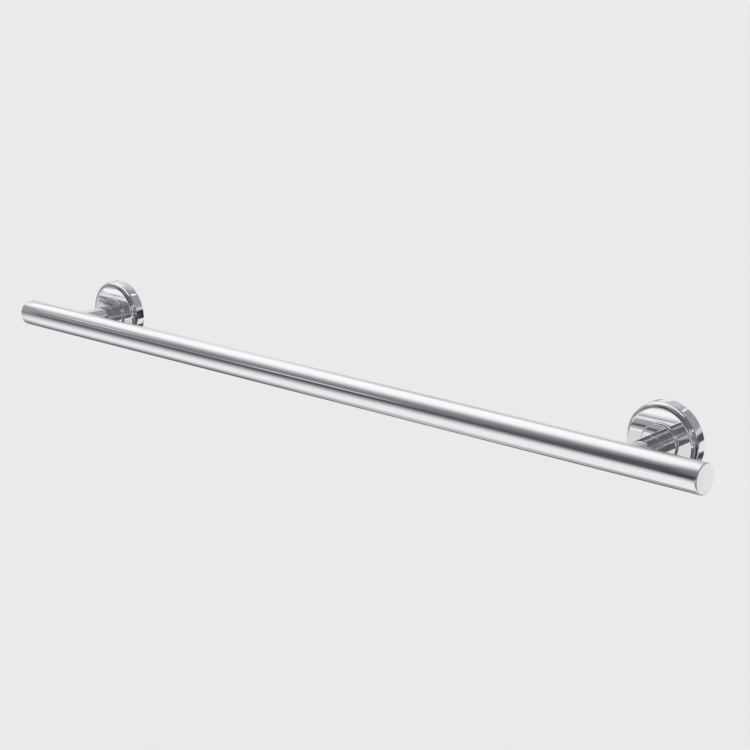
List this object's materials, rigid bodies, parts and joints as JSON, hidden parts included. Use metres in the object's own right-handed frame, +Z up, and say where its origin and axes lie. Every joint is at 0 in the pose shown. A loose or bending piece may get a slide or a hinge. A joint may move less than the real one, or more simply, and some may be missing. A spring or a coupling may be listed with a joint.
{
  "type": "grab bar",
  "caption": "Straight wall-mounted grab bar for a shower or bath: a chrome tube on two round posts with stepped round rosettes.",
  "frame": {"origin": "On the wall's face, midway between the two wall plates, at the centre of the rectangle that their top and bottom screw holes form.", "axes": "+X runs along the bar to the right as seen from the room, +Z is up, and +Y points into the wall, so the bar is on the -Y side."},
  "size_m": [0.974, 0.092, 0.078],
  "materials": {
    "chrome": "polished",
    "steel": "brushed",
    "rubber": "matt"
  },
  "bodies": {
    "root": {"bar_tube": "chrome", "post_left": "chrome", "post_right": "chrome", "rosette_cover_left": "chrome", "rosette_cover_right": "chrome", "collar_ring_left": "chrome", "collar_ring_right": "chrome", "end_cap_left": "chrome", "end_cap_right": "chrome", "wall_plate_left": "steel", "wall_plate_right": "steel", "spigot_left": "steel", "spigot_right": "steel", "spigot_screw_left": "steel", "spigot_screw_right": "steel", "grub_screw_left": "steel", "grub_screw_right": "steel", "joint_screw_left": "steel", "joint_screw_right": "steel", "joint_washer_left": "steel", "joint_washer_right": "steel", "saddle_nut_left": "steel", "saddle_nut_right": "steel", "rosette_rim_ring_left": "rubber", "rosette_rim_ring_right": "rubber", "collar_seal_left": "rubber", "collar_seal_right": "rubber", "wall_seal_left": "rubber", "wall_seal_right": "rubber", "end_cap_ring_left": "rubber", "end_cap_ring_right": "rubber"}
  },
  "joints": []
}
